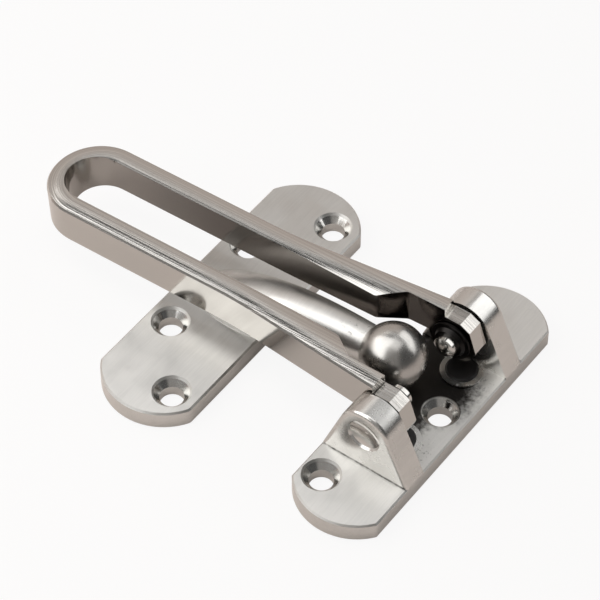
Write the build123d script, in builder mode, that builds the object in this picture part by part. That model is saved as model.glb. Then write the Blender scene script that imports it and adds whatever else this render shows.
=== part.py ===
from build123d import *
import os
from math import acos, atan2, cos, degrees, pi, radians, sin, sqrt

# Swing-bar door guard, in millimetres. The hinge plate carries the swing bar between two lugs. The ball
# plate has an arm that holds a ball inside the bar's pocket. The origin is the middle of the hinge plate's
# back face, with +X from the bar's free end to the hinge plate, +Y along the hinge axis and +Z off the wall.

# Ball and the room that it has inside the bar
ball_diameter = 14.3
ball_side_gap = 3.45
ball_front_gap = 0.2
ball_drop = 0.3

# Countersunk screw holes, shared by both plates
screw_hole_diameter = 5.2
countersink_diameter = 8.4
countersink_angle = 82.0

# Hinge plate
hinge_plate_length = 73.0
hinge_plate_width = 21.0
hinge_plate_end_rise = 5.3
hinge_plate_thickness = 4.2
hinge_plate_edge_bevel = 0.35
end_hole_spacing = 55.3
end_hole_setback = 5.7
middle_hole_forward = 4.3

# Lugs and hinge axis
hinge_axis_height = 13.7
hinge_axis_setback = 0.4
lug_thickness = 5.9
lug_top_radius = 6.1
lug_edge_round = 0.9

# Pivot pins, riveted into countersinks in the lugs' outer faces and running in the eyes
pin_diameter = 5.0
pin_stand = 4.0
pin_dome_height = 0.9
pin_running_clearance = 0.05
rivet_diameter = 7.9
rivet_depth = 1.9
rivet_sink = 0.5
rivet_dish_depth = 0.7

# Push-on retaining rings, tight on the pins and just clear of the eyes
ring_diameter = 9.2
ring_thickness = 0.6
ring_collar_diameter = 7.4
ring_collar_taper = 0.5
ring_collar_height = 1.4
ring_clearance = 0.25

# Bumpers that meet the bar when it is swung right back
bumper_diameter = 7.0
bumper_seat_depth = 2.2
bumper_bevel = 0.4
bumper_gap = 0.35
bumper_forward = 1.9
bumper_lug_gap = 0.2
bumper_rim_width = 1.1
bumper_rim_height = 0.7

# Swing bar, measured from the hinge axis along the bar and square to it
bar_length = 95.1
bar_drop_angle = 2.83
slot_width = 13.0
leg_width = 4.4
leg_outer_top = 7.2
leg_outer_bottom = -1.25
leg_underside_slope = 0.22
leg_crown_radius = 9.0
leg_crest_inset = 0.5
leg_edge_bevel = 0.35
flare_start = 39.0
flare_bend_radius = 110.0
shoulder_setback = 2.0
slot_end_wall_top = 3.3
slot_end_wall_bottom = 5.7
step_gap = 1.8
step_run = 5.4
step_round = 1.5
cut_margin = 1.0

# Eyes at the hinge end of the bar, each flat given by its direction and its distance from the axis
eye_radius = 5.8
eye_thickness = 3.85
eye_side_clearance = 0.55
eye_flats = ((16.0, 5.15), (58.0, 5.62), (88.0, 5.5), (-88.0, 5.2))

# Ball plate and its arm
ball_plate_length = 73.9
ball_plate_width = 23.4
ball_plate_end_rise = 6.85
ball_plate_thickness = 4.2
ball_plate_corner_radius = 1.5
ball_plate_edge_bevel = 0.4
inner_hole_spacing = 27.2
inner_hole_setback = 6.2
outer_hole_spacing = 56.8
outer_hole_forward = 5.6
arm_reach = 41.1
arm_rise_angle = 5.5
arm_bend_run = 23.6
arm_root_setback = 1.4
arm_root_sink = 6.6
arm_root_over_slot = 2.9
arm_bend_under_slot = 0.77
arm_end_diameter = 8.3
arm_stations = (0.0, 0.15, 0.3, 0.45, 0.6, 0.8, 1.0)
spigot_diameter = 5.0
spigot_length = 5.0

# Places that follow from the sizes
ball_radius = ball_diameter / 2
eye_inner = ball_radius + ball_side_gap
eye_outer = eye_inner + eye_thickness
lug_inner = eye_outer + eye_side_clearance
lug_outer = lug_inner + lug_thickness
hinge_axis_x = -hinge_axis_setback
bumper_y = lug_inner - bumper_lug_gap - bumper_diameter / 2
slot_half = slot_width / 2
leg_half = leg_width / 2
bar_half = slot_half + leg_width
ball_x = hinge_axis_x - ball_radius - ball_front_gap
ball_z = hinge_axis_height - ball_drop
ball_plate_x = ball_x - arm_reach
hinge_axis = Axis((hinge_axis_x, 0, hinge_axis_height), (0, 1, 0))
sides = {"near": -1, "far": 1}


def hinge_plane(side, distance):
    """Plane square to the hinge axis, facing outwards on one side of the middle."""
    return Plane(
        origin=(hinge_axis_x, side * distance, hinge_axis_height), x_dir=(1, 0, 0), z_dir=(0, side, 0)
    )


def turning_plane(side):
    """Plane through the hinge axis, with x off the axis and y outwards from the eye's inner face."""
    return Plane(
        origin=(hinge_axis_x, side * eye_inner, hinge_axis_height), x_dir=(1, 0, 0), z_dir=(0, 0, side)
    )


def arc_ended_outline(length, width, end_rise):
    """Edges of a plate with two straight long sides and a shallow arc at each end."""
    corner = length / 2 - end_rise
    with BuildLine() as outline:
        far_end = ThreePointArc((-width / 2, corner), (0, length / 2), (width / 2, corner))
        near_end = ThreePointArc((-width / 2, -corner), (0, -length / 2), (width / 2, -corner))
        Line(far_end @ 0, near_end @ 0)
        Line(far_end @ 1, near_end @ 1)
    return outline.edges()


def touch_angle(foot_x, foot_z, turn):
    """Angle on the lug's round top where the straight flank from a foot touches it."""
    run = foot_x - hinge_axis_x
    rise = foot_z - hinge_axis_height
    return atan2(rise, run) + turn * acos(lug_top_radius / sqrt(run**2 + rise**2))


# Hinge plate: plate and lugs in one casting, each lug sloping from its round top to both long edges
half_width = hinge_plate_width / 2
front_angle = touch_angle(half_width, hinge_plate_thickness, 1)
back_angle = touch_angle(-half_width, hinge_plate_thickness, -1) + 2 * pi

with BuildPart() as hinge_plate:
    with BuildSketch():
        make_face(arc_ended_outline(hinge_plate_length, hinge_plate_width, hinge_plate_end_rise))
    extrude(amount=hinge_plate_thickness)
    chamfer(hinge_plate.faces().sort_by(Axis.Z)[-1].edges(), hinge_plate_edge_bevel)
    for side in sides.values():
        with BuildSketch(Plane.XZ.offset(-side * lug_inner)):
            with BuildLine():
                top = CenterArc(
                    (hinge_axis_x, hinge_axis_height),
                    lug_top_radius,
                    degrees(front_angle),
                    degrees(back_angle - front_angle),
                )
                Polyline(
                    top @ 1,
                    (-half_width, hinge_plate_thickness),
                    (-half_width, 0),
                    (half_width, 0),
                    (half_width, hinge_plate_thickness),
                    top @ 0,
                )
            make_face()
        extrude(amount=-side * lug_thickness)
        lug_rims = hinge_plate.edges().filter_by(GeomType.CIRCLE).filter_by(Plane.XZ)
        fillet(lug_rims.sort_by(lambda rim: side * rim.center().Y)[-1], lug_edge_round)
        with BuildSketch(hinge_plane(side, lug_inner)):
            Circle(pin_diameter / 2)
        extrude(amount=lug_thickness, mode=Mode.SUBTRACT)
        with BuildSketch(hinge_plane(side, lug_outer - rivet_depth)):
            Circle(pin_diameter / 2)
        with BuildSketch(hinge_plane(side, lug_outer)):
            Circle(rivet_diameter / 2)
        loft(mode=Mode.SUBTRACT)
    with Locations(
        (-end_hole_setback, -end_hole_spacing / 2, hinge_plate_thickness),
        (-end_hole_setback, end_hole_spacing / 2, hinge_plate_thickness),
        (middle_hole_forward, 0, hinge_plate_thickness),
    ):
        CounterSinkHole(screw_hole_diameter / 2, countersink_diameter / 2, counter_sink_angle=countersink_angle)
    with BuildSketch(Plane.XY.offset(hinge_plate_thickness)):
        with Locations((bumper_forward, -bumper_y), (bumper_forward, bumper_y)):
            Circle(bumper_diameter / 2 + bumper_rim_width)
    extrude(amount=bumper_rim_height)
    with Locations(
        (bumper_forward, -bumper_y, hinge_plate_thickness + bumper_rim_height),
        (bumper_forward, bumper_y, hinge_plate_thickness + bumper_rim_height),
    ):
        Hole(bumper_diameter / 2, depth=bumper_rim_height + bumper_seat_depth)
hinge_plate.part.label = "hinge_plate"

# Swing bar: a crowned section carried round the loop, then the slot, the pocket and the two eyes
bar_plane = Plane(
    origin=(hinge_axis_x, 0, hinge_axis_height),
    x_dir=(cos(radians(bar_drop_angle)), 0, sin(radians(bar_drop_angle))),
    z_dir=(-sin(radians(bar_drop_angle)), 0, cos(radians(bar_drop_angle))),
)
loop_hinge = eye_outer - leg_half
loop_leg = bar_half - leg_half
loop_end = bar_half - bar_length
section_inner = loop_leg - loop_hinge - leg_half
crown_centre = leg_outer_top - sqrt(leg_crown_radius**2 - (leg_half + leg_crest_inset) ** 2)
crown_top = crown_centre + leg_crown_radius
bevel_start = leg_half - leg_edge_bevel
bevel_top = crown_centre + sqrt(leg_crown_radius**2 - (bevel_start + leg_crest_inset) ** 2)
inner_top = crown_centre + sqrt(leg_crown_radius**2 - (section_inner + leg_crest_inset) ** 2)
inner_bottom = leg_outer_bottom + leg_underside_slope * (leg_half - section_inner)
slot_mouth = -(ball_diameter + ball_front_gap + step_gap)
pocket_start = slot_mouth + step_run
cut_low = leg_outer_bottom - cut_margin
cut_high = crown_top + cut_margin
slot_end_top = slot_end_wall_top + slot_half - bar_length
slot_end_bottom = slot_end_wall_bottom + slot_half - bar_length

with BuildLine(bar_plane) as loop:
    FilletPolyline(
        (-shoulder_setback, -loop_hinge),
        (-flare_start, -loop_leg),
        (loop_end, -loop_leg),
        radius=flare_bend_radius,
    )
    ThreePointArc((loop_end, -loop_leg), (loop_end - loop_leg, 0), (loop_end, loop_leg))
    FilletPolyline(
        (loop_end, loop_leg),
        (-flare_start, loop_leg),
        (-shoulder_setback, loop_hinge),
        radius=flare_bend_radius,
    )
loop_wire = loop.wire()
section_plane = Plane(
    origin=loop_wire @ 0, x_dir=bar_plane.z_dir.cross(loop_wire % 0), z_dir=loop_wire % 0
)

with BuildPart() as swing_bar:
    with BuildSketch(section_plane):
        with BuildLine():
            crown = ThreePointArc((bevel_start, bevel_top), (-leg_crest_inset, crown_top), (section_inner, inner_top))
            Polyline(
                crown @ 1,
                (section_inner, inner_bottom),
                (leg_half, leg_outer_bottom),
                (leg_half, leg_outer_top - leg_edge_bevel),
                crown @ 0,
            )
        make_face()
    sweep(path=loop_wire)
    for side in sides.values():
        with BuildSketch(hinge_plane(side, eye_inner)):
            Circle(eye_radius)
            for angle, reach in eye_flats:
                turn = side * -radians(angle + bar_drop_angle)
                with Locations(Location((2 * reach * cos(turn), 2 * reach * sin(turn)), degrees(turn))):
                    Rectangle(2 * reach, 4 * eye_radius, mode=Mode.SUBTRACT)
        extrude(amount=eye_thickness)
    with BuildSketch(bar_plane.offset(cut_low)) as pocket:
        with BuildLine():
            Polyline(
                (slot_end_bottom, -slot_half),
                (slot_mouth, -slot_half),
                (pocket_start, -eye_inner),
                (2 * eye_radius, -eye_inner),
                (2 * eye_radius, eye_inner),
                (pocket_start, eye_inner),
                (slot_mouth, slot_half),
                (slot_end_bottom, slot_half),
                close=True,
            )
        make_face()
        fillet(pocket.vertices().sort_by(Axis.X)[2:6], step_round)
    extrude(amount=cut_high - cut_low, mode=Mode.SUBTRACT)
    for height, end in ((cut_low, slot_end_bottom), (cut_high, slot_end_top)):
        run = slot_mouth - slot_half - end
        with BuildSketch(bar_plane.offset(height)):
            with Locations((end + run / 2, 0)):
                SlotCenterToCenter(run, slot_width)
    loft(ruled=True, mode=Mode.SUBTRACT)
    with BuildSketch(hinge_plane(1, -eye_outer)):
        Circle(pin_diameter / 2 + pin_running_clearance)
    extrude(amount=2 * eye_outer, mode=Mode.SUBTRACT)
swing_bar.part.label = "swing_bar"

# Ball plate: an arc-ended plate with an arm that bends up, tapers and ends in a spigot for the ball
arm_plane = Plane(origin=(ball_plate_x, 0, 0), x_dir=(1, 0, 0), z_dir=(0, -1, 0))
arm_x = cos(radians(arm_rise_angle))
arm_z = sin(radians(arm_rise_angle))
neck_distance = sqrt(ball_radius**2 - (arm_end_diameter / 2) ** 2)
arm_root = (-arm_root_setback, ball_plate_thickness - arm_root_sink)
arm_neck = (arm_reach - neck_distance * arm_x, ball_z - neck_distance * arm_z)
arm_bend = (arm_neck[0] - arm_bend_run * arm_x, arm_neck[1] - arm_bend_run * arm_z)
root_radius = slot_half + arm_root_over_slot
bend_radius = slot_half - arm_bend_under_slot
with BuildLine(arm_plane) as arm_line:
    Bezier(arm_root, arm_bend, arm_neck)
arm_curve = arm_line.edge()
neck_plane = Plane(origin=arm_curve @ 1, x_dir=(0, 1, 0), z_dir=arm_curve % 1)

with BuildPart() as ball_plate:
    with BuildSketch(Plane((ball_plate_x, 0, 0))):
        make_face(arc_ended_outline(ball_plate_length, ball_plate_width, ball_plate_end_rise))
    extrude(amount=ball_plate_thickness)
    fillet(ball_plate.edges().filter_by(Axis.Z), ball_plate_corner_radius)
    chamfer(ball_plate.faces().sort_by(Axis.Z)[-1].edges(), ball_plate_edge_bevel)
    for station in arm_stations:
        rest = 1 - station
        radius = rest**2 * root_radius + 2 * rest * station * bend_radius + station**2 * arm_end_diameter / 2
        with BuildSketch(Plane(origin=arm_curve @ station, x_dir=(0, 1, 0), z_dir=arm_curve % station)):
            Circle(radius)
    loft()
    split(bisect_by=Plane.XY, keep=Keep.TOP)
    with BuildSketch(neck_plane):
        Circle(spigot_diameter / 2)
    extrude(amount=spigot_length)
    with Locations(
        (ball_plate_x - inner_hole_setback, -inner_hole_spacing / 2, ball_plate_thickness),
        (ball_plate_x - inner_hole_setback, inner_hole_spacing / 2, ball_plate_thickness),
        (ball_plate_x + outer_hole_forward, -outer_hole_spacing / 2, ball_plate_thickness),
        (ball_plate_x + outer_hole_forward, outer_hole_spacing / 2, ball_plate_thickness),
    ):
        CounterSinkHole(screw_hole_diameter / 2, countersink_diameter / 2, counter_sink_angle=countersink_angle)
ball_plate.part.label = "ball_plate"

# Ball: turned about the arm's line, with a flat and a blind bore where it sits on the arm's spigot
ball_centre = (ball_x, 0, ball_z)
arm_end = arm_end_diameter / 2
bore_end = spigot_length - neck_distance
with BuildPart() as ball:
    with BuildSketch(Plane(origin=ball_centre, x_dir=(arm_x, 0, arm_z), z_dir=(0, -1, 0))):
        with BuildLine():
            round_side = ThreePointArc((-neck_distance, arm_end), (0, ball_radius), (ball_radius, 0))
            Polyline(
                round_side @ 1,
                (bore_end, 0),
                (bore_end, spigot_diameter / 2),
                (-neck_distance, spigot_diameter / 2),
                round_side @ 0,
            )
        make_face()
    revolve(axis=Axis(ball_centre, (arm_x, 0, arm_z)))
ball.part.label = "ball"

os.makedirs("parts", exist_ok=True)
export_step(hinge_plate.part, "parts/hinge_plate.step")
export_step(swing_bar.part, "parts/swing_bar.step")
export_step(ball_plate.part, "parts/ball_plate.step")
export_step(ball.part, "parts/ball.step")

# Pivot pins: domed at the inner end, and at the outer end flared into the lug's countersink and dished
pin_radius = pin_diameter / 2
rivet_rim = rivet_diameter / 2 - (rivet_diameter - pin_diameter) / 2 * rivet_sink / rivet_depth
flare_start_out = lug_outer - eye_inner - rivet_depth
rivet_end = lug_outer - eye_inner - rivet_sink
dish_floor = rivet_end - rivet_dish_depth
for name, side in sides.items():
    with BuildPart() as pivot_pin:
        with BuildSketch(turning_plane(side)):
            with BuildLine():
                dome = TangentArc((0, -pin_stand), (pin_radius, pin_dome_height - pin_stand), tangent=(1, 0))
                dish = TangentArc((0, dish_floor), (rivet_rim, rivet_end), tangent=(1, 0))
                Polyline(dome @ 1, (pin_radius, flare_start_out), dish @ 1)
                Line(dome @ 0, dish @ 0)
            make_face()
        revolve(axis=hinge_axis)
    pivot_pin.part.label = "pivot_pin_" + name
    export_step(pivot_pin.part, "parts/pivot_pin_" + name + ".step")

# Retaining rings: a flat flange that keeps the eye on, and a tapered collar that grips the pin
flange_radius = ring_diameter / 2
collar_radius = ring_collar_diameter / 2
flange_back = -ring_clearance - ring_thickness
collar_back = -ring_clearance - ring_collar_height
for name, side in sides.items():
    with BuildPart() as retaining_ring:
        with BuildSketch(turning_plane(side)):
            with BuildLine():
                Polyline(
                    (pin_radius, -ring_clearance),
                    (flange_radius, -ring_clearance),
                    (flange_radius, flange_back),
                    (collar_radius, flange_back),
                    (collar_radius - ring_collar_taper, collar_back),
                    (pin_radius, collar_back),
                    close=True,
                )
            make_face()
        revolve(axis=hinge_axis)
    retaining_ring.part.label = "retaining_ring_" + name
    export_step(retaining_ring.part, "parts/retaining_ring_" + name + ".step")

# Bumpers: round pads let into the hinge plate, just clear of the bar's shoulder as it swings past
bumper_top = hinge_axis_height - sqrt(shoulder_setback**2 + crown_top**2) - bumper_gap
bumper_floor = hinge_plate_thickness - bumper_seat_depth
for name, side in sides.items():
    with BuildPart() as bumper:
        with BuildSketch(Plane((bumper_forward, side * bumper_y, bumper_floor))):
            Circle(bumper_diameter / 2)
        extrude(amount=bumper_top - bumper_floor)
        chamfer(bumper.faces().sort_by(Axis.Z)[-1].edges(), bumper_bevel)
    bumper.part.label = "bumper_" + name
    export_step(bumper.part, "parts/bumper_" + name + ".step")
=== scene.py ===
"""Swing-bar door guard in satin nickel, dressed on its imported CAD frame."""
import logging
import math
from dataclasses import dataclass
from enum import Enum
from typing import Optional, Tuple, Union

import bpy
from mathutils import Matrix, Vector

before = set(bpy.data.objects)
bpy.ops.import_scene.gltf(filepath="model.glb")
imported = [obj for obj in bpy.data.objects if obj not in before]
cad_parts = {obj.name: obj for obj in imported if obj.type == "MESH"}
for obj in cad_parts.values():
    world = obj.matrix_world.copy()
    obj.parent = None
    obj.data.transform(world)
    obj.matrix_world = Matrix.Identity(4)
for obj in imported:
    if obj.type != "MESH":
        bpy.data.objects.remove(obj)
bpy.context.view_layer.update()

Colour = Tuple[float, float, float]
Point = Tuple[float, float, float]
Socket = bpy.types.NodeSocket
Value = Union[float, Socket]

WHITE = (1.0, 1.0, 1.0, 1.0)
ORIGIN: Point = (0.0, 0.0, 0.0)

log = logging.getLogger("door_guard")


@dataclass(frozen=True)
class Ramp:
    """Smooth step from one result to another.

    Attributes:
        start: Value that gives the low result.
        end: Value that gives the high result.
        low: Result at the start.
        high: Result at the end.
    """

    start: float
    end: float
    low: float = 0.0
    high: float = 1.0


@dataclass(frozen=True)
class Speckle:
    """Noise pattern.

    Attributes:
        scale: Marks per unit of the coordinates that it is given.
        detail: Levels of finer marks.
        roughness: Strength of each finer level, as a share of the one before.
    """

    scale: float
    detail: float
    roughness: float = 0.6


class Graph:
    """Node tree with short calls that add nodes and join them."""

    def __init__(self, tree: bpy.types.NodeTree) -> None:
        """Keeps the tree."""
        self.tree = tree

    def add(self, kind: str) -> bpy.types.Node:
        """Adds a node of one kind."""
        return self.tree.nodes.new(kind)

    def put(self, value: Union[Value, Tuple[float, ...]], target: Socket) -> None:
        """Links a socket, or writes a constant, into an input.

        Args:
            value: Socket, number, vector or colour.
            target: Input that takes it.
        """
        if isinstance(value, bpy.types.NodeSocket):
            self.tree.links.new(value, target)
        else:
            target.default_value = value

    def math(self, operation: str, first: Value, second: Value = 0.0, third: Value = 0.0) -> Socket:
        """Adds a math node.

        Args:
            operation: Name of the operation.
            first: First value.
            second: Second value.
            third: Third value, where the operation takes one.

        Returns:
            Socket with the result.
        """
        node = self.add("ShaderNodeMath")
        node.operation = operation
        for value, target in zip((first, second, third), node.inputs):
            self.put(value, target)
        return node.outputs["Value"]

    def vector(
        self, operation: str, first: Socket, second: Union[Point, Socket] = ORIGIN
    ) -> bpy.types.Node:
        """Adds a vector math node.

        Args:
            operation: Name of the operation.
            first: First vector.
            second: Second vector, where the operation takes one.

        Returns:
            The node.
        """
        node = self.add("ShaderNodeVectorMath")
        node.operation = operation
        self.put(first, node.inputs[0])
        self.put(second, node.inputs[1])
        return node

    def distance(self, place: Socket, centre: Point) -> Socket:
        """Measures how far a place is from a point."""
        return self.vector("DISTANCE", place, centre).outputs["Value"]

    def along(self, vector: Socket, direction: Union[Point, Socket]) -> Socket:
        """Measures a vector along a unit direction."""
        return self.vector("DOT_PRODUCT", vector, direction).outputs["Value"]

    def split(self, vector: Socket) -> bpy.types.Node:
        """Adds a node that splits a vector into X, Y and Z."""
        node = self.add("ShaderNodeSeparateXYZ")
        self.put(vector, node.inputs["Vector"])
        return node

    def join(self, x: Value, y: Value, z: Value) -> Socket:
        """Joins three values into a vector.

        Args:
            x: First value.
            y: Second value.
            z: Third value.

        Returns:
            Socket with the vector.
        """
        node = self.add("ShaderNodeCombineXYZ")
        for value, name in ((x, "X"), (y, "Y"), (z, "Z")):
            self.put(value, node.inputs[name])
        return node.outputs["Vector"]

    def remap(self, value: Value, ramp: Ramp) -> Socket:
        """Maps a value through a smooth step.

        Args:
            value: Value to map.
            ramp: Step that it goes through.

        Returns:
            Socket with the result.
        """
        node = self.add("ShaderNodeMapRange")
        node.interpolation_type = "SMOOTHSTEP"
        self.put(value, node.inputs["Value"])
        self.put(ramp.start, node.inputs["From Min"])
        self.put(ramp.end, node.inputs["From Max"])
        self.put(ramp.low, node.inputs["To Min"])
        self.put(ramp.high, node.inputs["To Max"])
        return node.outputs["Result"]

    def noise(self, place: Socket, speckle: Speckle) -> Socket:
        """Adds a noise texture.

        Args:
            place: Coordinates, in metres or already stretched.
            speckle: Pattern of the noise.

        Returns:
            Socket with a value round 0.5.
        """
        node = self.add("ShaderNodeTexNoise")
        self.put(speckle.scale, node.inputs["Scale"])
        self.put(speckle.detail, node.inputs["Detail"])
        self.put(speckle.roughness, node.inputs["Roughness"])
        self.put(place, node.inputs["Vector"])
        return node.outputs["Fac"]

    def tint(self, factor: Value, colour: Union[Colour, Socket], other: Colour) -> Socket:
        """Blends two colours.

        Args:
            factor: Share of the other colour.
            colour: First colour.
            other: Second colour.

        Returns:
            Socket with the blend.
        """
        node = self.add("ShaderNodeMix")
        node.data_type = "RGBA"
        self.put(factor, node.inputs["Factor"])
        self.put(colour if isinstance(colour, bpy.types.NodeSocket) else (*colour, 1.0), node.inputs["A"])
        self.put((*other, 1.0), node.inputs["B"])
        return node.outputs["Result"]

    def bump(
        self, height: Socket, distance: float, normal: Optional[Socket] = None,
        strength: float = 1.0, sunken: bool = False,
    ) -> Socket:
        """Tilts the surface by a height.

        Args:
            height: Height, in units of the distance.
            distance: Height of one unit, in metres.
            normal: Tilt to add to, or None for the bare surface.
            strength: Share of the tilt that counts.
            sunken: Whether the height goes into the surface.

        Returns:
            Socket with the tilted normal.
        """
        node = self.add("ShaderNodeBump")
        node.invert = sunken
        self.put(strength, node.inputs["Strength"])
        self.put(distance, node.inputs["Distance"])
        self.put(height, node.inputs["Height"])
        if normal is not None:
            self.put(normal, node.inputs["Normal"])
        return node.outputs["Normal"]

    def blend_shaders(self, share: Socket, first: Socket, second: Socket) -> Socket:
        """Blends two shaders.

        Args:
            share: Share of the second shader.
            first: First shader.
            second: Second shader.

        Returns:
            Socket with the blend.
        """
        node = self.add("ShaderNodeMixShader")
        self.put(share, node.inputs["Fac"])
        self.put(first, node.inputs[1])
        self.put(second, node.inputs[2])
        return node.outputs["Shader"]


def blank_material(name: str) -> Tuple[bpy.types.Material, Graph, bpy.types.Node]:
    """Makes a node material.

    Args:
        name: Name of the material.

    Returns:
        The material, its node tree and its shader node.
    """
    material = bpy.data.materials.new(name)
    material.use_nodes = True
    return material, Graph(material.node_tree), material.node_tree.nodes["Principled BSDF"]


# Middle of the bar's rounded end
LOOP_CENTRE_X = -0.0845

# Satin height just above the plates' tops, and one that no face reaches, for one finish all over
PLATE_TOP = 0.0043
NO_TOP = 1.0

# Faces by how far their normal points up, or out of the bar's slot
BRUSHED_TOP = Ramp(0.7, 0.95)
BRUSHED_BEVEL = Ramp(0.5, 0.68)
BRUSHED_CREST = Ramp(0.3, 0.7)
# Walls that face the slot, which take painted shade
SLOT_WALL = Ramp(-0.4, -0.8)

# Strength of the painted shade on the slot's walls along X, from the loop's centre towards the hinge
SLOT_SHADE_ALONG = Ramp(LOOP_CENTRE_X, -0.05, 0.5, 1.0)

# Distances from the satin height: below it, where a rim's bevel starts and where it is whole,
# and above it, where the raised finish is whole
BEVEL_FOOT = 0.0007
BEVEL_WHOLE = 0.0005
RAISED_RISE = 0.0002

# Slow clouds in the roughness
CLOUDS = Speckle(140.0, 5.0)
CLOUD_SWING = Ramp(0.3, 0.7, 0.85, 1.15)

# Brush lines: fine ones, wide ones at a share of their strength, their mean height, and the rise to a ridge
FINE_LINES = Speckle(1.0, 3.0)
WIDE_LINES = Speckle(0.25, 1.0)
WIDE_SHARE = 0.6
MEAN_LINES = 0.8
RIDGES = Ramp(0.6, 0.95)

# Painted shade on a plate's top, in the hollow round the pins: where it lies, the painted shade line in the
# creases, and the grit that breaks its edge
PATCH_CORE = 0.3
ON_TOP = Ramp(0.0005, 0.0002)
CREASE_SHADE = Ramp(0.0004, 0.0, 0.0, 0.45)
GRIT = Speckle(900.0, 6.0)
MEAN_NOISE = 0.5
GRIT_SHARE = 0.9
SHADE_EDGE = Ramp(0.1, 0.8)

# Pits of rough casting
PITS = Speckle(1500.0, 4.0)
PIT_SHAPE = Ramp(0.42, 0.34)
PIT_DARKNESS = 0.4


def off_loop_line(graph: Graph, place: Socket) -> Socket:
    """Finds how far a place on the bar lies from the slot's middle line, which ends at the loop's centre.

    Args:
        graph: Node tree.
        place: Object coordinates.

    Returns:
        Socket with the level vector out of the middle line.
    """
    parts = graph.split(place)
    beyond = graph.math("MINIMUM", graph.math("SUBTRACT", parts.outputs["X"], LOOP_CENTRE_X), 0.0)
    return graph.join(beyond, parts.outputs["Y"], 0.0)


class Grain(Enum):
    """Stretch of the brush marks along X, Y and Z, in marks per metre."""

    ROUND_LOOP = (8.0, 4200.0, 60.0)
    ALONG_PLATE = (2600.0, 160.0, 2600.0)
    EVEN = (1800.0, 1800.0, 1800.0)

    def stretch(self, graph: Graph, place: Socket) -> Socket:
        """Stretches coordinates along the brush marks.

        Args:
            graph: Node tree.
            place: Object coordinates.

        Returns:
            Socket with the stretched coordinates.
        """
        parts = graph.split(place)
        across = parts.outputs["Y"]
        if self is Grain.ROUND_LOOP:
            across = graph.distance(off_loop_line(graph, place), ORIGIN)
        return graph.join(
            graph.math("MULTIPLY", parts.outputs["X"], self.value[0]),
            graph.math("MULTIPLY", across, self.value[1]),
            graph.math("MULTIPLY", parts.outputs["Z"], self.value[2]),
        )


@dataclass(frozen=True)
class Patch:
    """Round patch on a surface.

    Attributes:
        centre: Middle of the patch, in metres.
        radius: Reach of the patch, in metres.
    """

    centre: Point
    radius: float


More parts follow.
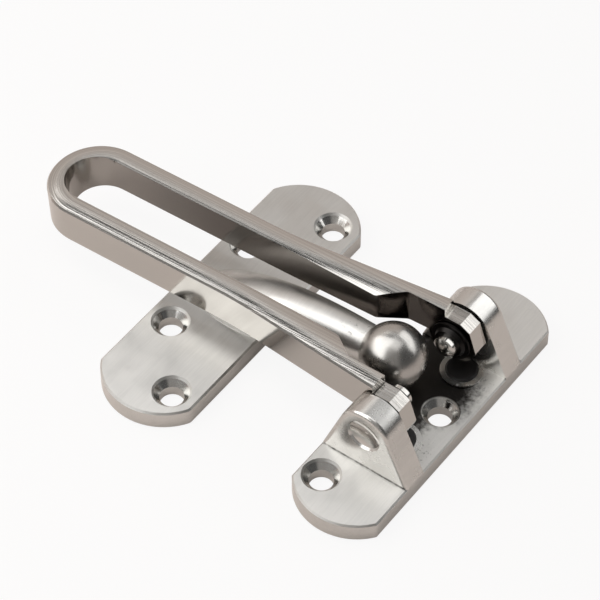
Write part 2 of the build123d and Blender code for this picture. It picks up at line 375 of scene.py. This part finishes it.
@dataclass(frozen=True)
class NickelFinish:
    """Nickel plate, satin where it was brushed and smoother on plate edges and in countersinks.

    Attributes:
        name: Name of the material.
        colour: Reflection colour of the plate.
        satin: Roughness of brushed faces.
        smooth: Roughness of other faces below the satin height.
        raised: Roughness of faces above the satin height.
        satin_height: Height of the brushed top, in metres.
        grain: Stretch of the brush marks.
        grain_depth: Height of the brush marks, in metres.
        marks: Patches left rough by the casting.
        shade_patches: Patches of painted shade in the hollow round the pins.
        crease: Distance from the middle along Y where a lug meets the top and a thin line of painted shade
            runs, in metres.
        painted_slot_shade: Whether walls that face the bar's slot get painted shade.
        crown: How fast the top falls off along Y from the middle, as a share of Y squared, per metre.
        streak: Brightness of the deepest brush marks, as a share of the colour.
        mark_depth: Depth of the rough casting, in metres.
        dark: Colour of the painted shade in patches, creases and slot walls, and of the casting pits.
    """

    name: str
    colour: Colour
    satin: float
    smooth: float
    raised: float
    satin_height: float
    grain: Grain
    grain_depth: float
    marks: Tuple[Patch, ...] = ()
    shade_patches: Tuple[Patch, ...] = ()
    crease: float = 0.0
    painted_slot_shade: bool = False
    crown: float = 0.0
    streak: float = 0.95
    mark_depth: float = 0.00004
    # Colour of painted shade, and of casting pits
    dark: Colour = (0.17, 0.157, 0.145)

    def roughness(self, graph: Graph, coords: bpy.types.Node) -> Socket:
        """Makes tops and bevels satin, other low faces smooth and raised ones in between, with slow clouds.

        Args:
            graph: Node tree.
            coords: Texture coordinate node.

        Returns:
            Socket with the roughness.
        """
        facing = graph.split(coords.outputs["Normal"]).outputs["Z"]
        height = graph.split(coords.outputs["Object"]).outputs["Z"]
        rim = graph.remap(height, Ramp(self.satin_height - BEVEL_FOOT, self.satin_height - BEVEL_WHOLE))
        bevel = graph.math("MULTIPLY", rim, graph.remap(facing, BRUSHED_BEVEL))
        brushed = graph.math("MAXIMUM", graph.remap(facing, BRUSHED_TOP), bevel)
        high = graph.remap(height, Ramp(self.satin_height, self.satin_height + RAISED_RISE))
        low = graph.math("MULTIPLY_ADD", brushed, self.satin - self.smooth, self.smooth)
        base = graph.math("MULTIPLY_ADD", high, graph.math("SUBTRACT", self.raised, low), low)
        cloud = graph.remap(graph.noise(coords.outputs["Object"], CLOUDS), CLOUD_SWING)
        return graph.math("MULTIPLY", base, cloud)

    def brush_lines(self, graph: Graph, coords: bpy.types.Node) -> Socket:
        """Draws the brush lines, on the bar only where it looks up.

        Args:
            graph: Node tree.
            coords: Texture coordinate node.

        Returns:
            Socket with the height of the lines.
        """
        stretched = self.grain.stretch(graph, coords.outputs["Object"])
        wide = graph.noise(stretched, WIDE_LINES)
        lines = graph.math("MULTIPLY_ADD", wide, WIDE_SHARE, graph.noise(stretched, FINE_LINES))
        if self.grain is not Grain.ROUND_LOOP:
            return lines
        crest = graph.remap(graph.split(coords.outputs["Normal"]).outputs["Z"], BRUSHED_CREST)
        return graph.math("MULTIPLY_ADD", graph.math("SUBTRACT", lines, MEAN_LINES), crest, MEAN_LINES)

    def crowned(self, graph: Graph, place: Socket, normal: Socket) -> Socket:
        """Shades the top as if it fell off slightly towards its ends.

        Args:
            graph: Node tree.
            place: Object coordinates.
            normal: Tilt to add to.

        Returns:
            Socket with the tilted normal.
        """
        along = graph.split(place).outputs["Y"]
        fall = graph.math("MULTIPLY", graph.math("MULTIPLY", along, along), -self.crown)
        return graph.bump(fall, 1.0, normal)

    def patches(self, graph: Graph, place: Socket, patches: Tuple[Patch, ...]) -> Socket:
        """Joins round patches into one.

        Args:
            graph: Node tree.
            place: Object coordinates.
            patches: Patches, at least one.

        Returns:
            Socket with the share of the patches.
        """
        total: Value = 0.0
        for patch in patches:
            fade = Ramp(patch.radius, PATCH_CORE * patch.radius)
            total = graph.math("MAXIMUM", total, graph.remap(graph.distance(place, patch.centre), fade))
        return total

    def painted_shade(self, graph: Graph, place: Socket) -> Socket:
        """Paints shade on the top, in patches with a broken edge and a thin line in the creases where the
        lugs meet it.

        Args:
            graph: Node tree.
            place: Object coordinates.

        Returns:
            Socket with the share of painted shade.
        """
        parts = graph.split(place)
        off_top = graph.math("ABSOLUTE", graph.math("SUBTRACT", parts.outputs["Z"], self.satin_height))
        aside = graph.math("ABSOLUTE", parts.outputs["Y"])
        off_crease = graph.math("ABSOLUTE", graph.math("SUBTRACT", aside, self.crease))
        # Thin line of painted shade in the crease where a lug meets the top
        line = graph.remap(off_crease, CREASE_SHADE)
        share = graph.math("MAXIMUM", self.patches(graph, place, self.shade_patches), line)
        grit = graph.math("SUBTRACT", graph.noise(place, GRIT), MEAN_NOISE)
        broken = graph.remap(graph.math("MULTIPLY_ADD", grit, GRIT_SHARE, share), SHADE_EDGE)
        return graph.math("MULTIPLY", broken, graph.remap(off_top, ON_TOP))

    def slot_shade(self, graph: Graph, coords: bpy.types.Node) -> Socket:
        """Paints shade on walls that face the slot, stronger towards the hinge.

        Args:
            graph: Node tree.
            coords: Texture coordinate node.

        Returns:
            Socket with the share of painted shade on such walls, and 0 elsewhere.
        """
        place = coords.outputs["Object"]
        outwards = graph.vector("NORMALIZE", off_loop_line(graph, place)).outputs["Vector"]
        wall = graph.remap(graph.along(outwards, coords.outputs["Normal"]), SLOT_WALL)
        return graph.math("MULTIPLY", wall, graph.remap(graph.split(place).outputs["X"], SLOT_SHADE_ALONG))

    def pits(self, graph: Graph, place: Socket) -> Socket:
        """Scatters pits over the rough casting.

        Args:
            graph: Node tree.
            place: Object coordinates.

        Returns:
            Socket with the depth of the pits.
        """
        pits = graph.remap(graph.noise(place, PITS), PIT_SHAPE)
        return graph.math("MULTIPLY", self.patches(graph, place, self.marks), pits)

    def build(self) -> bpy.types.Material:
        """Makes the node material.

        Returns:
            The material, ready to assign.
        """
        material, graph, shader = blank_material(self.name)
        coords = graph.add("ShaderNodeTexCoord")
        place = coords.outputs["Object"]
        lines = self.brush_lines(graph, coords)
        groove = tuple(self.streak * c for c in self.colour)
        colour = graph.tint(graph.remap(lines, RIDGES), groove, self.colour)
        normal = graph.bump(lines, self.grain_depth)
        if self.crown:
            normal = self.crowned(graph, place, normal)
        # Painted shade in the hollow round the pins and along the lugs' creases
        if self.shade_patches:
            colour = graph.tint(self.painted_shade(graph, place), colour, self.dark)
        # Painted shade on the walls that face the bar's slot
        if self.painted_slot_shade:
            colour = graph.tint(self.slot_shade(graph, coords), colour, self.dark)
        if self.marks:
            pits = self.pits(graph, place)
            colour = graph.tint(graph.math("MULTIPLY", pits, PIT_DARKNESS), colour, self.dark)
            normal = graph.bump(pits, self.mark_depth, normal, sunken=True)
        graph.put(1.0, shader.inputs["Metallic"])
        graph.put(colour, shader.inputs["Base Color"])
        graph.put(self.roughness(graph, coords), shader.inputs["Roughness"])
        graph.put(normal, shader.inputs["Normal"])
        return material


@dataclass(frozen=True)
class DarkFinish:
    """Black moulded rubber or black oxide on steel, with a faint grain.

    Attributes:
        name: Name of the material.
        colour: Colour of the grain's high spots.
        roughness: Roughness of the surface.
        metallic: 1 for metal, 0 for rubber.
        grain: Pattern of the grain.
        grain_shade: Brightness of the grain's low spots, as a share of the colour.
        grain_depth: Height of the grain, in metres.
        grain_strength: Share of the grain's tilt that counts.
    """

    name: str
    colour: Colour
    roughness: float
    metallic: float
    grain: Speckle = Speckle(2400.0, 2.0)
    grain_shade: float = 0.6
    grain_depth: float = 0.00002
    grain_strength: float = 0.3

    def build(self) -> bpy.types.Material:
        """Makes the node material.

        Returns:
            The material, ready to assign.
        """
        material, graph, shader = blank_material(self.name)
        coords = graph.add("ShaderNodeTexCoord")
        grain = graph.noise(coords.outputs["Object"], self.grain)
        shade = tuple(self.grain_shade * c for c in self.colour)
        normal = graph.bump(grain, self.grain_depth, strength=self.grain_strength)
        graph.put(self.metallic, shader.inputs["Metallic"])
        graph.put(graph.tint(grain, shade, self.colour), shader.inputs["Base Color"])
        graph.put(self.roughness, shader.inputs["Roughness"])
        graph.put(normal, shader.inputs["Normal"])
        return material


NICKEL: Colour = (0.66, 0.645, 0.615)
SATIN_NICKEL: Colour = (0.7, 0.69, 0.665)
BAR_COLOUR: Colour = (0.62, 0.6, 0.57)
BALL_COLOUR: Colour = (0.54, 0.525, 0.5)
# Painted shade and casting pits on the hinge plate
SHADE_AND_PIT_BLACK: Colour = (0.035, 0.032, 0.03)

HINGE_MARKS = (
    Patch((0.006, -0.0115, 0.0042), 0.0055),
    Patch((0.006, 0.011, 0.0042), 0.0055),
    Patch((0.005, 0.005, 0.0042), 0.005),
)
# Painted shade in the hollow between the lugs, the eyes and the ball
HINGE_SHADE = (
    Patch((-0.004, -0.006, 0.0042), 0.012),
    Patch((-0.002, 0.004, 0.0042), 0.015),
    Patch((-0.006, 0.009, 0.0042), 0.012),
)
NECK_MARKS = (Patch((-0.0165, 0.0005, 0.0155), 0.005),)

HINGE_NICKEL = NickelFinish(
    "hinge_nickel", SATIN_NICKEL, satin=0.42, smooth=0.16, raised=0.26, satin_height=PLATE_TOP,
    grain=Grain.ALONG_PLATE, grain_depth=0.0000012, marks=HINGE_MARKS, shade_patches=HINGE_SHADE,
    crease=0.0209, crown=1.2, dark=SHADE_AND_PIT_BLACK,
)
BALL_PLATE_NICKEL = NickelFinish(
    "ball_plate_nickel", SATIN_NICKEL, satin=0.42, smooth=0.16, raised=0.4, satin_height=PLATE_TOP,
    grain=Grain.ALONG_PLATE, grain_depth=0.0000012, marks=NECK_MARKS, crown=1.2,
)
# The bar takes painted shade on its slot walls, in the default dark colour
BAR_NICKEL = NickelFinish(
    "bar_nickel", BAR_COLOUR, satin=0.11, smooth=0.11, raised=0.11, satin_height=NO_TOP,
    grain=Grain.ROUND_LOOP, grain_depth=0.00003, painted_slot_shade=True, streak=0.8,
)
BALL_NICKEL = NickelFinish(
    "ball_nickel", BALL_COLOUR, satin=0.28, smooth=0.28, raised=0.28, satin_height=NO_TOP,
    grain=Grain.EVEN, grain_depth=0.0000015,
)
PIN_NICKEL = NickelFinish(
    "pin_nickel", NICKEL, satin=0.15, smooth=0.15, raised=0.15, satin_height=NO_TOP,
    grain=Grain.EVEN, grain_depth=0.0000005,
)
BLACK_RUBBER = DarkFinish("black_rubber", (0.012, 0.011, 0.011), roughness=0.5, metallic=0.0)
BLACK_OXIDE = DarkFinish("black_oxide_steel", (0.03, 0.028, 0.027), roughness=0.35, metallic=1.0)


def dress(node: str, material: bpy.types.Material) -> None:
    """Gives a CAD node a material.

    Args:
        node: Name of the node.
        material: Material for the whole of its mesh.
    """
    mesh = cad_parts[node].data
    mesh.materials.clear()
    mesh.materials.append(material)
    log.info("dressed %s in %s", node, material.name)


@dataclass
class HingeSet:
    """Hinge plate with its pins, retaining rings and bumpers.

    Attributes:
        plate: Node of the plate.
        pins: Nodes of the pins.
        rings: Nodes of the retaining rings.
        bumpers: Nodes of the bumpers.
    """

    plate: str = "hinge_plate"
    pins: Tuple[str, ...] = ("pivot_pin_near", "pivot_pin_far")
    rings: Tuple[str, ...] = ("retaining_ring_near", "retaining_ring_far")
    bumpers: Tuple[str, ...] = ("bumper_near", "bumper_far")

    def build(self) -> None:
        """Dresses the plate, the pins, the rings and the bumpers."""
        dress(self.plate, HINGE_NICKEL.build())
        small = ((self.pins, PIN_NICKEL), (self.rings, BLACK_OXIDE), (self.bumpers, BLACK_RUBBER))
        for nodes, finish in small:
            material = finish.build()
            for node in nodes:
                dress(node, material)


@dataclass
class SwingBar:
    """Slotted bar that swings on the hinge plate.

    Attributes:
        bar: Node of the bar.
    """

    bar: str = "swing_bar"

    def build(self) -> None:
        """Dresses the bar."""
        dress(self.bar, BAR_NICKEL.build())


@dataclass
class BallSet:
    """Ball plate with its arm and ball.

    Attributes:
        plate: Node of the plate and its arm.
        ball: Node of the ball.
    """

    plate: str = "ball_plate"
    ball: str = "ball"

    def build(self) -> None:
        """Dresses the plate with its arm, and the ball."""
        dress(self.plate, BALL_PLATE_NICKEL.build())
        dress(self.ball, BALL_NICKEL.build())


@dataclass(frozen=True)
class Softbox:
    """Large soft lamp.

    Attributes:
        name: Name of the lamp.
        place: Middle of the lamp, in metres.
        aim: Point that it faces.
        size: Width and height, in metres.
        radiance: Brightness of its face, where 1 is white.
    """

    name: str
    place: Point
    aim: Point
    size: Tuple[float, float]
    radiance: float

    def build(self) -> None:
        """Hangs the lamp and hides it from the camera."""
        data = bpy.data.lights.new(self.name, "AREA")
        data.shape = "RECTANGLE"
        data.size, data.size_y = self.size
        data.energy = self.radiance * math.pi * self.size[0] * self.size[1]
        lamp = bpy.data.objects.new(self.name, data)
        lamp.location = self.place
        toward = Vector(self.aim) - Vector(self.place)
        lamp.rotation_euler = toward.to_track_quat("-Z", "Y").to_euler()
        lamp.visible_camera = False
        bpy.context.scene.collection.objects.link(lamp)


@dataclass
class Studio:
    """Pale floor, soft light and the camera.

    Attributes:
        azimuth: Camera azimuth in degrees, 0 looking along +Y.
        elevation: Camera elevation in degrees.
        distance: Distance from the aim point, in metres.
        aim: Point that the camera looks at.
        roll: Turn of the picture about the line of sight, in degrees.
        focal_pixels: Focal length in pixels of the picture.
        picture_pixels: Width of the picture, in pixels.
        sensor_mm: Width of the camera's sensor, in millimetres.
        clip_start: Nearest distance that the camera sees, in metres.
        floor_size: Side of the floor, in metres.
        floor_drop: Gap between the floor and the plates, in metres.
        floor_colour: Colour of the floor.
        camera_glow: Share of white that the camera sees on the floor.
        glossy_glow: Share of white that metal mirrors from the floor.
        backdrop: Colours of the room behind, each with its height, as a share of the way up.
        front_colour: Colour of the room on the camera's side.
        front_fade: How the front sets in, by direction away from the camera.
        right_colour: Colour of the room to the camera's right.
        right_fade: How the right side sets in, by direction to the right.
        softboxes: Lamps.
    """

    azimuth: float = 36.137
    elevation: float = 49.072
    distance: float = 0.6226
    aim: Point = (-0.03878, 0.010194, 0.0)
    roll: float = 0.151
    focal_pixels: float = 2918.2
    picture_pixels: float = 600.0
    sensor_mm: float = 36.0
    clip_start: float = 0.01
    floor_size: float = 6.0
    floor_drop: float = 0.0001
    floor_colour: Colour = (0.72, 0.65, 0.61)
    camera_glow: float = 0.9
    glossy_glow: float = 0.06
    backdrop: Tuple[Tuple[float, Colour], ...] = (
        (0.0, (0.55, 0.48, 0.44)),
        (0.55, (0.62, 0.56, 0.52)),
        (0.73, (0.7, 0.66, 0.63)),
        (0.77, (0.05, 0.05, 0.05)),
        (0.9, (0.05, 0.05, 0.05)),
        (0.95, (0.15, 0.15, 0.15)),
    )
    front_colour: Colour = (0.3, 0.29, 0.28)
    front_fade: Ramp = Ramp(0.3, -0.25)
    right_colour: Colour = (0.09, 0.09, 0.09)
    right_fade: Ramp = Ramp(0.15, 0.45)
    softboxes: Tuple[Softbox, ...] = (
        Softbox("softbox_over", (-0.36, -0.26, 0.3), (-0.36, -0.26, 0.0), (0.62, 0.62), 1.9),
        Softbox("strip_behind", (-0.2, 0.15, 0.3), (-0.2, 0.15, 0.0), (0.32, 0.06), 0.7),
        Softbox("softbox_right", (0.27, 0.35, 0.415), (0.27, 0.0, 0.415), (0.7, 0.45), 1.5),
        Softbox("softbox_top", (0.06, 0.02, 0.7), (0.06, 0.02, 0.0), (0.45, 0.45), 1.0),
    )

    def camera(self) -> None:
        """Places the camera at the photograph's angle."""
        azimuth = math.radians(self.azimuth)
        elevation = math.radians(self.elevation)
        out = Vector((
            math.sin(azimuth) * math.cos(elevation),
            -math.cos(azimuth) * math.cos(elevation),
            math.sin(elevation),
        ))
        level = Vector((math.cos(azimuth), math.sin(azimuth), 0.0))
        turn = Matrix.Rotation(math.radians(self.roll), 3, out)
        right = turn @ level
        up = turn @ out.cross(level)
        data = bpy.data.cameras.new("camera")
        data.sensor_width = self.sensor_mm
        data.lens = self.focal_pixels / self.picture_pixels * self.sensor_mm
        data.clip_start = self.clip_start
        camera = bpy.data.objects.new("camera", data)
        place = Matrix((right, up, out)).transposed().to_4x4()
        place.translation = Vector(self.aim) + self.distance * out
        camera.matrix_world = place
        bpy.context.scene.collection.objects.link(camera)
        bpy.context.scene.camera = camera

    def floor(self) -> None:
        """Lays a pale floor that shows white, and keeps a soft shadow."""
        bpy.ops.mesh.primitive_plane_add(size=self.floor_size, location=(0.0, 0.0, -self.floor_drop))
        plane = bpy.context.object
        plane.name = "floor"
        material, graph, shader = blank_material("pale_floor")
        graph.tree.nodes.remove(shader)
        matt = graph.add("ShaderNodeBsdfDiffuse")
        graph.put((*self.floor_colour, 1.0), matt.inputs["Color"])
        glow = graph.add("ShaderNodeEmission")
        graph.put(WHITE, glow.inputs["Color"])
        path = graph.add("ShaderNodeLightPath")
        mirrored = graph.math("MAXIMUM", path.outputs["Is Glossy Ray"], path.outputs["Is Transmission Ray"])
        shown = graph.math(
            "MULTIPLY_ADD", path.outputs["Is Camera Ray"], self.camera_glow,
            graph.math("MULTIPLY", mirrored, self.glossy_glow),
        )
        surface = graph.blend_shaders(shown, matt.outputs["BSDF"], glow.outputs["Emission"])
        graph.put(surface, graph.tree.nodes["Material Output"].inputs["Surface"])
        plane.data.materials.append(material)

    def room_colour(self, graph: Graph) -> Socket:
        """Paints the room: a pale backdrop behind with a dark band above it, and dark in front and at right.

        Args:
            graph: Node tree of the world.

        Returns:
            Socket with the colour.
        """
        look = graph.add("ShaderNodeTexCoord").outputs["Generated"]
        backdrop = graph.add("ShaderNodeValToRGB")
        ramp = backdrop.color_ramp
        while len(ramp.elements) < len(self.backdrop):
            ramp.elements.new(1.0)
        for element, (place, colour) in zip(ramp.elements, self.backdrop):
            element.position = place
            element.color = (*colour, 1.0)
        graph.put(graph.split(look).outputs["Z"], backdrop.inputs["Fac"])
        sine, cosine = math.sin(math.radians(self.azimuth)), math.cos(math.radians(self.azimuth))
        front = graph.remap(graph.along(look, (-sine, cosine, 0.0)), self.front_fade)
        right = graph.remap(graph.along(look, (cosine, sine, 0.0)), self.right_fade)
        walls = graph.tint(front, backdrop.outputs["Color"], self.front_colour)
        return graph.tint(right, walls, self.right_colour)

    def world(self) -> None:
        """Sets the room round the object, white to the camera."""
        world = bpy.data.worlds.new("room")
        bpy.context.scene.world = world
        world.use_nodes = True
        graph = Graph(world.node_tree)
        room = graph.tree.nodes["Background"]
        graph.put(self.room_colour(graph), room.inputs["Color"])
        white = graph.add("ShaderNodeBackground")
        graph.put(WHITE, white.inputs["Color"])
        seen = graph.add("ShaderNodeLightPath").outputs["Is Camera Ray"]
        surface = graph.blend_shaders(seen, room.outputs["Background"], white.outputs["Background"])
        graph.put(surface, graph.tree.nodes["World Output"].inputs["Surface"])

    def build(self) -> None:
        """Sets up floor, lamps, room and camera."""
        self.floor()
        for softbox in self.softboxes:
            softbox.build()
        self.world()
        self.camera()
        bpy.context.scene.view_settings.view_transform = "Standard"
        log.info("studio set up")


def main() -> None:
    """Builds every sub-assembly and the studio."""
    logging.basicConfig(level=logging.INFO, format="%(name)s: %(message)s")
    for assembly in (HingeSet(), SwingBar(), BallSet(), Studio()):
        assembly.build()


if __name__ == "__main__":
    main()
